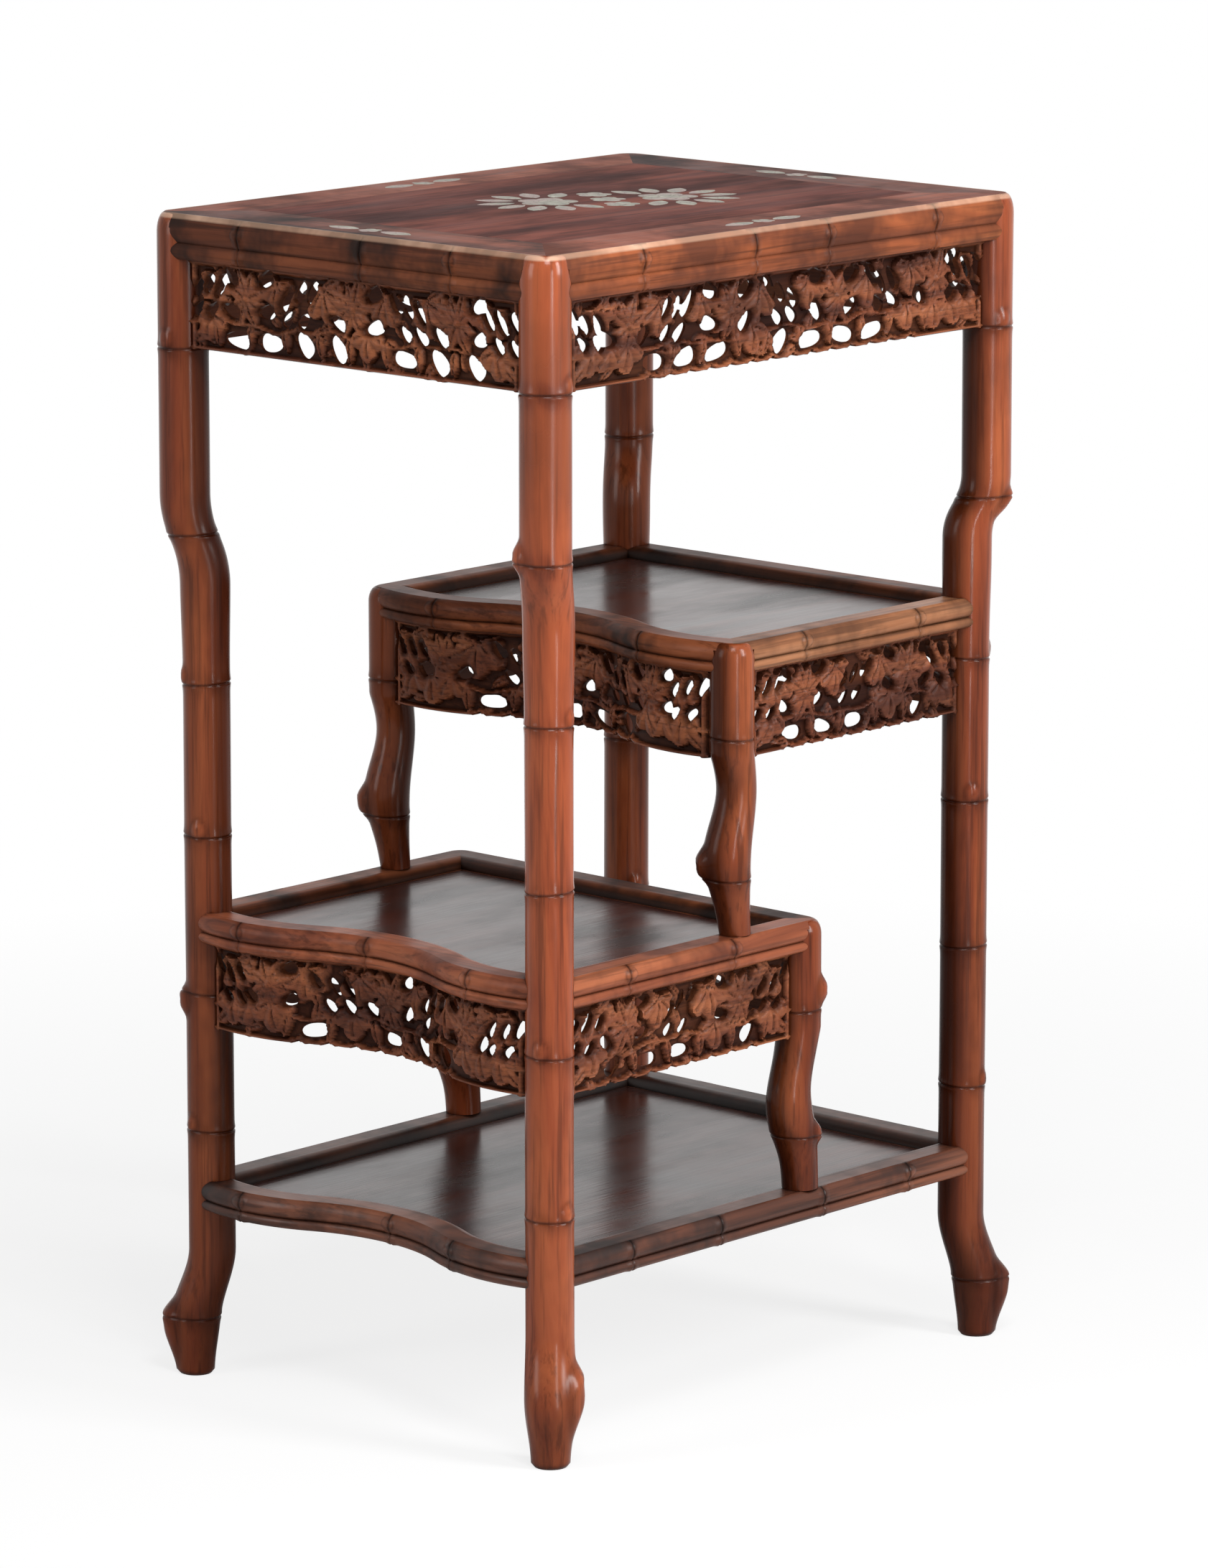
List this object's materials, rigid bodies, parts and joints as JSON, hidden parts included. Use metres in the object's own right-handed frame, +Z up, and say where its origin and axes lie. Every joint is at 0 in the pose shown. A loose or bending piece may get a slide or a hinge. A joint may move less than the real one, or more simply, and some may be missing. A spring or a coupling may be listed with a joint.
{
  "type": "side table",
  "caption": "Hardwood display stand carved as jointed bamboo, with a framed top, staggered half shelves, pierced carved aprons and a full bottom shelf.",
  "frame": {"origin": "on the floor under the middle of the top", "axes": "+Z up; +X along the width, from the side with the lower half shelf to the side with the upper one; -Y is the front"},
  "size_m": [0.4776, 0.3682, 0.8],
  "materials": {
    "cane_wood": "satin, waxed",
    "rail_wood": "satin, waxed",
    "carved_wood": "satin, carved",
    "panel_wood": "polished",
    "pearl": "polished shell"
  },
  "bodies": {
    "root": {"bottom_shelf_batten_1": "panel_wood", "bottom_shelf_batten_2": "panel_wood", "bottom_shelf_panel": "panel_wood", "bottom_shelf_rail_back": "rail_wood", "bottom_shelf_rail_front": "rail_wood", "bottom_shelf_rail_left": "rail_wood", "bottom_shelf_rail_right": "rail_wood", "leg_back_left": "cane_wood", "leg_back_right": "cane_wood", "leg_front_left": "cane_wood", "leg_front_right": "cane_wood", "lower_shelf_apron_back": "carved_wood", "lower_shelf_apron_front": "carved_wood", "lower_shelf_apron_left": "carved_wood", "lower_shelf_apron_right": "carved_wood", "lower_shelf_batten_1": "panel_wood", "lower_shelf_leg_back": "cane_wood", "lower_shelf_leg_front": "cane_wood", "lower_shelf_panel": "panel_wood", "lower_shelf_rail_back": "rail_wood", "lower_shelf_rail_front": "rail_wood", "lower_shelf_rail_left": "rail_wood", "lower_shelf_rail_right": "rail_wood", "pearl_flowers": "pearl", "pearl_leaves": "pearl", "top_apron_back": "carved_wood", "top_apron_front": "carved_wood", "top_apron_left": "carved_wood", "top_apron_right": "carved_wood", "top_batten_1": "panel_wood", "top_batten_2": "panel_wood", "top_panel": "panel_wood", "top_rail_back": "rail_wood", "top_rail_front": "rail_wood", "top_rail_left": "rail_wood", "top_rail_right": "rail_wood", "upper_shelf_apron_back": "carved_wood", "upper_shelf_apron_front": "carved_wood", "upper_shelf_apron_left": "carved_wood", "upper_shelf_apron_right": "carved_wood", "upper_shelf_batten_1": "panel_wood", "upper_shelf_leg_back": "cane_wood", "upper_shelf_leg_front": "cane_wood", "upper_shelf_panel": "panel_wood", "upper_shelf_rail_back": "rail_wood", "upper_shelf_rail_front": "rail_wood", "upper_shelf_rail_left": "rail_wood", "upper_shelf_rail_right": "rail_wood"}
  },
  "joints": []
}
